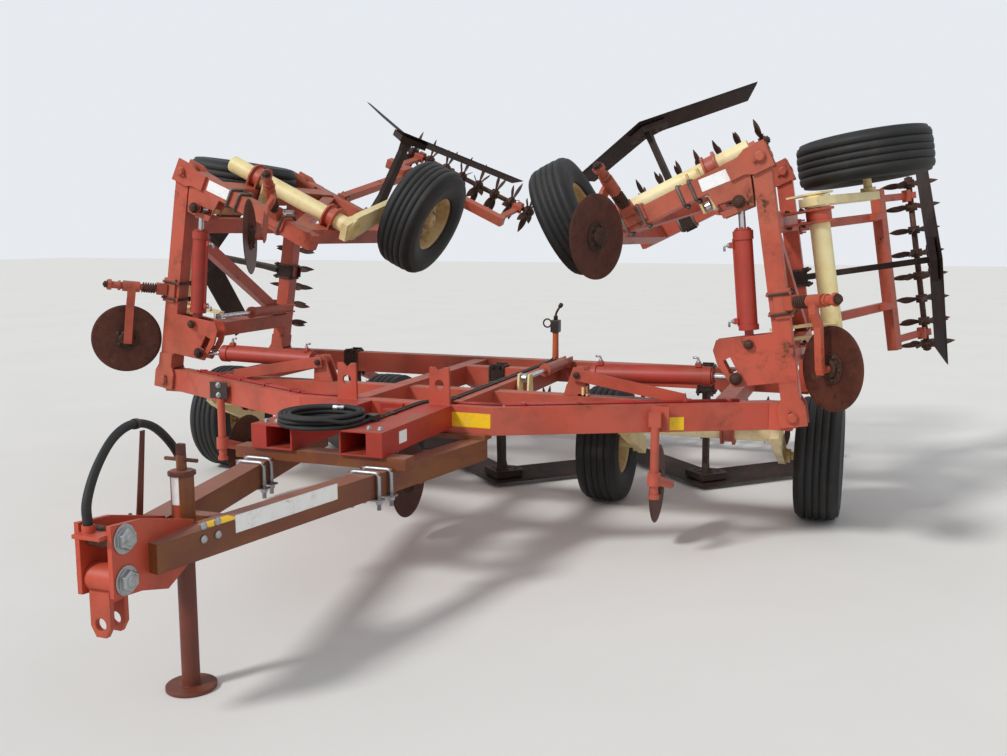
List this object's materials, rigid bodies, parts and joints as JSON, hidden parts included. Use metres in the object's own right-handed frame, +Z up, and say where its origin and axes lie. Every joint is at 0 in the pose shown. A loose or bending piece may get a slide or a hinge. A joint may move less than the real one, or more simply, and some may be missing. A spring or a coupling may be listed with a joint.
{
  "type": "folded blade plow",
  "caption": "Towed folding blade plow parked on its wheels and jack, with both wings folded up and over, wide V blades, coulters and star treader gangs.",
  "frame": {"origin": "on the ground at the middle of the machine, under the line of the front fold pins", "axes": "+X to the machine's left, +Y rearward, away from the hitch, +Z up"},
  "size_m": [6.1814, 6.1864, 2.9105],
  "materials": {
    "red_paint": "sun-faded, rusty",
    "cream_paint": "chalky",
    "dark_paint": "rusty",
    "worn_steel": "brown rust",
    "rod_chrome": "polished",
    "tyre_black": "weathered rubber",
    "hose_black": "satin"
  },
  "bodies": {
    "main": {"centre_frame": "red_paint", "centre_tools": "worn_steel", "tongue": "red_paint", "jack": "dark_paint", "hose_loop": "hose_black", "hose_coil": "hose_black", "fold_base_left": "red_paint", "fold_base_right": "red_paint"},
    "clevis": {"hitch_clevis": "red_paint"},
    "inner_left": {"inner_frame_left": "red_paint", "inner_tools_left": "worn_steel"},
    "outer_left": {"outer_frame_left": "red_paint", "outer_tools_left": "worn_steel"},
    "fold_barrel_inner_left": {"fold_barrel_inner_left": "red_paint"},
    "fold_rod_inner_left": {"fold_rod_inner_left": "rod_chrome"},
    "fold_barrel_outer_left": {"fold_barrel_outer_left": "red_paint"},
    "fold_rod_outer_left": {"fold_rod_outer_left": "rod_chrome"},
    "inner_right": {"inner_frame_right": "red_paint", "inner_tools_right": "worn_steel"},
    "outer_right": {"outer_frame_right": "red_paint", "outer_tools_right": "worn_steel"},
    "fold_barrel_inner_right": {"fold_barrel_inner_right": "red_paint"},
    "fold_rod_inner_right": {"fold_rod_inner_right": "rod_chrome"},
    "fold_barrel_outer_right": {"fold_barrel_outer_right": "red_paint"},
    "fold_rod_outer_right": {"fold_rod_outer_right": "rod_chrome"},
    "rockshaft_centre": {"rockshaft_centre": "cream_paint"},
    "lift_rod_centre": {"lift_rod_centre": "rod_chrome"},
    "rockshaft_inner_left": {"rockshaft_inner_left": "cream_paint"},
    "lift_rod_inner_left": {"lift_rod_inner_left": "rod_chrome"},
    "rockshaft_outer_left": {"rockshaft_outer_left": "cream_paint"},
    "lift_rod_outer_left": {"lift_rod_outer_left": "rod_chrome"},
    "rockshaft_inner_right": {"rockshaft_inner_right": "cream_paint"},
    "lift_rod_inner_right": {"lift_rod_inner_right": "rod_chrome"},
    "rockshaft_outer_right": {"rockshaft_outer_right": "cream_paint"},
    "lift_rod_outer_right": {"lift_rod_outer_right": "rod_chrome"},
    "wheel_centre_left": {"wheel_centre_left": "tyre_black"},
    "wheel_middle_left": {"wheel_middle_left": "tyre_black"},
    "wheel_inner_left": {"wheel_inner_left": "tyre_black"},
    "wheel_outer_left": {"wheel_outer_left": "tyre_black"},
    "wheel_centre_right": {"wheel_centre_right": "tyre_black"},
    "wheel_middle_right": {"wheel_middle_right": "tyre_black"},
    "wheel_inner_right": {"wheel_inner_right": "tyre_black"},
    "wheel_outer_right": {"wheel_outer_right": "tyre_black"},
    "disc_centre_left": {"disc_centre_left": "worn_steel"},
    "disc_centre_middle": {"disc_centre_middle": "worn_steel"},
    "disc_centre_right": {"disc_centre_right": "worn_steel"},
    "disc_inner_left": {"disc_inner_left": "worn_steel"},
    "disc_outer_left": {"disc_outer_left": "worn_steel"},
    "disc_inner_right": {"disc_inner_right": "worn_steel"},
    "disc_outer_right": {"disc_outer_right": "worn_steel"},
    "treader_centre": {"treader_centre": "worn_steel"},
    "treader_inner_left": {"treader_inner_left": "worn_steel"},
    "treader_outer_left": {"treader_outer_left": "worn_steel"},
    "treader_inner_right": {"treader_inner_right": "worn_steel"},
    "treader_outer_right": {"treader_outer_right": "worn_steel"}
  },
  "joints": [
    {"name": "hitch_swing", "type": "hinge", "parent": "main", "child": "clevis", "pos_m": [0, -2.985, 0.595], "axis": [1, 0, 0], "range_deg": [-25, 20]},
    {"name": "fold_inner_left", "type": "hinge", "parent": "main", "child": "inner_left", "pos_m": [2.1, 0, 0.8], "axis": [0, 1, 0], "range_deg": [0, 99]},
    {"name": "fold_outer_left", "type": "hinge", "parent": "inner_left", "child": "outer_left", "pos_m": [1.8763, 0, 2.21239], "axis": [0, 1, 0], "range_deg": [0, 107]},
    {"name": "barrel_inner_left", "type": "hinge", "parent": "main", "child": "fold_barrel_inner_left", "pos_m": [0.87, 0, 0.98], "axis": [0, 1, 0], "range_deg": [-4, 4]},
    {"name": "rod_inner_left", "type": "slide", "parent": "fold_barrel_inner_left", "child": "fold_rod_inner_left", "axis": [0.9997, 0, 0.026], "range_m": [0, 0.5645]},
    {"name": "barrel_outer_left", "type": "hinge", "parent": "inner_left", "child": "fold_barrel_outer_left", "pos_m": [1.84985, 0, 1.19675], "axis": [0, 1, 0], "range_deg": [-4, 4]},
    {"name": "rod_outer_left", "type": "slide", "parent": "fold_barrel_outer_left", "child": "fold_rod_outer_left", "axis": [-0.0951, 0, 0.9955], "range_m": [0, 0.4142]},
    {"name": "fold_inner_right", "type": "hinge", "parent": "main", "child": "inner_right", "pos_m": [-2.1, 0, 0.8], "axis": [0, -1, 0], "range_deg": [0, 99]},
    {"name": "fold_outer_right", "type": "hinge", "parent": "inner_right", "child": "outer_right", "pos_m": [-1.8763, 0, 2.21239], "axis": [0, -1, 0], "range_deg": [0, 107]},
    {"name": "barrel_inner_right", "type": "hinge", "parent": "main", "child": "fold_barrel_inner_right", "pos_m": [-0.87, 0, 0.98], "axis": [0, -1, 0], "range_deg": [-4, 4]},
    {"name": "rod_inner_right", "type": "slide", "parent": "fold_barrel_inner_right", "child": "fold_rod_inner_right", "axis": [-0.9997, 0, 0.026], "range_m": [0, 0.5645]},
    {"name": "barrel_outer_right", "type": "hinge", "parent": "inner_right", "child": "fold_barrel_outer_right", "pos_m": [-1.84985, 0, 1.19675], "axis": [0, -1, 0], "range_deg": [-4, 4]},
    {"name": "rod_outer_right", "type": "slide", "parent": "fold_barrel_outer_right", "child": "fold_rod_outer_right", "axis": [0.0951, 0, 0.9955], "range_m": [0, 0.4142]},
    {"name": "lift_centre", "type": "hinge", "parent": "main", "child": "rockshaft_centre", "pos_m": [0, 0.371, 0.628], "axis": [1, 0, 0], "range_deg": [-29.47, 20.53]},
    {"name": "lift_rod_centre_slide", "type": "slide", "parent": "main", "child": "lift_rod_centre", "axis": [0, -1, 0], "range_m": [-0.1296, 0.0906]},
    {"name": "lift_inner_left", "type": "hinge", "parent": "inner_left", "child": "rockshaft_inner_left", "pos_m": [2.33704, 0.371, 0.83754], "axis": [-0.1564, 0, 0.9877], "range_deg": [-25, 35.5]},
    {"name": "lift_rod_inner_left_slide", "type": "slide", "parent": "inner_left", "child": "lift_rod_inner_left", "axis": [0, -1, 0], "range_m": [-0.1398, 0.198]},
    {"name": "lift_outer_left", "type": "hinge", "parent": "outer_left", "child": "rockshaft_outer_left", "pos_m": [1.82545, 0.371, 2.31665], "axis": [-0.8988, 0, -0.4384], "range_deg": [-34, 17]},
    {"name": "lift_rod_outer_left_slide", "type": "slide", "parent": "outer_left", "child": "lift_rod_outer_left", "axis": [0, -1, 0], "range_m": [-0.1161, 0.0586]},
    {"name": "lift_inner_right", "type": "hinge", "parent": "inner_right", "child": "rockshaft_inner_right", "pos_m": [-2.33704, 0.371, 0.83754], "axis": [-0.1564, 0, -0.9877], "range_deg": [-60, 0.5]},
    {"name": "lift_rod_inner_right_slide", "type": "slide", "parent": "inner_right", "child": "lift_rod_inner_right", "axis": [0, -1, 0], "range_m": [-0.334, 0.0038]},
    {"name": "lift_outer_right", "type": "hinge", "parent": "outer_right", "child": "rockshaft_outer_right", "pos_m": [-1.82545, 0.371, 2.31665], "axis": [-0.8988, 0, 0.4384], "range_deg": [-34, 17]},
    {"name": "lift_rod_outer_right_slide", "type": "slide", "parent": "outer_right", "child": "lift_rod_outer_right", "axis": [0, -1, 0], "range_m": [-0.1161, 0.0586]},
    {"name": "wheel_centre_left_spin", "type": "hinge", "parent": "rockshaft_centre", "child": "wheel_centre_left", "pos_m": [2.21, 0.86732, 0.391], "axis": [1, 0, 0], "continuous": true},
    {"name": "wheel_middle_left_spin", "type": "hinge", "parent": "rockshaft_centre", "child": "wheel_middle_left", "pos_m": [0.83, 0.86732, 0.391], "axis": [1, 0, 0], "continuous": true},
    {"name": "wheel_inner_left_spin", "type": "hinge", "parent": "rockshaft_inner_left", "child": "wheel_inner_left", "pos_m": [2.39122, 0.84731, 2.25345], "axis": [-0.1564, 0, 0.9877], "continuous": true},
    {"name": "wheel_outer_left_spin", "type": "hinge", "parent": "rockshaft_outer_left", "child": "wheel_outer_left", "pos_m": [0.55803, 0.88447, 1.91779], "axis": [-0.8988, 0, -0.4384], "continuous": true},
    {"name": "wheel_centre_right_spin", "type": "hinge", "parent": "rockshaft_centre", "child": "wheel_centre_right", "pos_m": [-2.21, 0.86732, 0.391], "axis": [1, 0, 0], "continuous": true},
    {"name": "wheel_middle_right_spin", "type": "hinge", "parent": "rockshaft_centre", "child": "wheel_middle_right", "pos_m": [-0.83, 0.86732, 0.391], "axis": [1, 0, 0], "continuous": true},
    {"name": "wheel_inner_right_spin", "type": "hinge", "parent": "rockshaft_inner_right", "child": "wheel_inner_right", "pos_m": [-2.07226, 0.91891, 2.20293], "axis": [-0.1564, 0, -0.9877], "continuous": true},
    {"name": "wheel_outer_right_spin", "type": "hinge", "parent": "rockshaft_outer_right", "child": "wheel_outer_right", "pos_m": [-0.55803, 0.88447, 1.91779], "axis": [-0.8988, 0, 0.4384], "continuous": true},
    {"name": "disc_centre_left_spin", "type": "hinge", "parent": "main", "child": "disc_centre_left", "pos_m": [1.355, -0.03956, 0.363], "axis": [1, 0, 0], "continuous": true},
    {"name": "disc_centre_middle_spin", "type": "hinge", "parent": "main", "child": "disc_centre_middle", "pos_m": [-0.05, -0.445, 0.363], "axis": [1, 0, 0], "continuous": true},
    {"name": "disc_centre_right_spin", "type": "hinge", "parent": "main", "child": "disc_centre_right", "pos_m": [-1.455, -0.03956, 0.363], "axis": [1, 0, 0], "continuous": true},
    {"name": "disc_inner_left_spin", "type": "hinge", "parent": "inner_left", "child": "disc_inner_left", "pos_m": [2.29921, -0.17924, 1.09603], "axis": [-0.7115, -0.7027, 0], "continuous": true},
    {"name": "disc_outer_left_spin", "type": "hinge", "parent": "outer_left", "child": "disc_outer_left", "pos_m": [1.08625, -0.45983, 1.7853], "axis": [-0.9159, 0.4015, 0], "continuous": true},
    {"name": "disc_inner_right_spin", "type": "hinge", "parent": "inner_right", "child": "disc_inner_right", "pos_m": [-2.29921, -0.17924, 1.09603], "axis": [-0.7115, 0.7027, 0], "continuous": true},
    {"name": "disc_outer_right_spin", "type": "hinge", "parent": "outer_right", "child": "disc_outer_right", "pos_m": [-1.08625, -0.45983, 1.7853], "axis": [-0.9159, -0.4015, 0], "continuous": true},
    {"name": "treader_centre_spin", "type": "hinge", "parent": "main", "child": "treader_centre", "pos_m": [0, 2.86828, 0.26165], "axis": [1, 0, 0], "continuous": true},
    {"name": "treader_inner_left_spin", "type": "hinge", "parent": "inner_left", "child": "treader_inner_left", "pos_m": [2.78769, 2.74904, 1.57208], "axis": [-0.1564, 0, 0.9877], "continuous": true},
    {"name": "treader_outer_left_spin", "type": "hinge", "parent": "outer_left", "child": "treader_outer_left", "pos_m": [1.01459, 2.89889, 2.27969], "axis": [-0.8988, 0, -0.4384], "continuous": true},
    {"name": "treader_inner_right_spin", "type": "hinge", "parent": "inner_right", "child": "treader_inner_right", "pos_m": [-2.78769, 2.74904, 1.57208], "axis": [-0.1564, 0, -0.9877], "continuous": true},
    {"name": "treader_outer_right_spin", "type": "hinge", "parent": "outer_right", "child": "treader_outer_right", "pos_m": [-1.01459, 2.89889, 2.27969], "axis": [-0.8988, 0, 0.4384], "continuous": true}
  ],
  "couplings": [
    {"joint": "barrel_inner_left", "follows": "fold_inner_left", "ratio": -0.022053},
    {"joint": "rod_inner_left", "follows": "fold_inner_left", "m_per_rad": 0.3261},
    {"joint": "barrel_outer_left", "follows": "fold_outer_left", "ratio": -0.026362},
    {"joint": "rod_outer_left", "follows": "fold_outer_left", "m_per_rad": 0.22125},
    {"joint": "barrel_inner_right", "follows": "fold_inner_right", "ratio": -0.022053},
    {"joint": "rod_inner_right", "follows": "fold_inner_right", "m_per_rad": 0.3261},
    {"joint": "barrel_outer_right", "follows": "fold_outer_right", "ratio": -0.026362},
    {"joint": "rod_outer_right", "follows": "fold_outer_right", "m_per_rad": 0.22125},
    {"joint": "lift_rod_centre_slide", "follows": "lift_centre", "m_per_rad": 0.25},
    {"joint": "lift_rod_inner_left_slide", "follows": "lift_inner_left", "m_per_rad": 0.318},
    {"joint": "lift_rod_outer_left_slide", "follows": "lift_outer_left", "m_per_rad": 0.194},
    {"joint": "lift_rod_inner_right_slide", "follows": "lift_inner_right", "m_per_rad": 0.318},
    {"joint": "lift_rod_outer_right_slide", "follows": "lift_outer_right", "m_per_rad": 0.194}
  ]
}
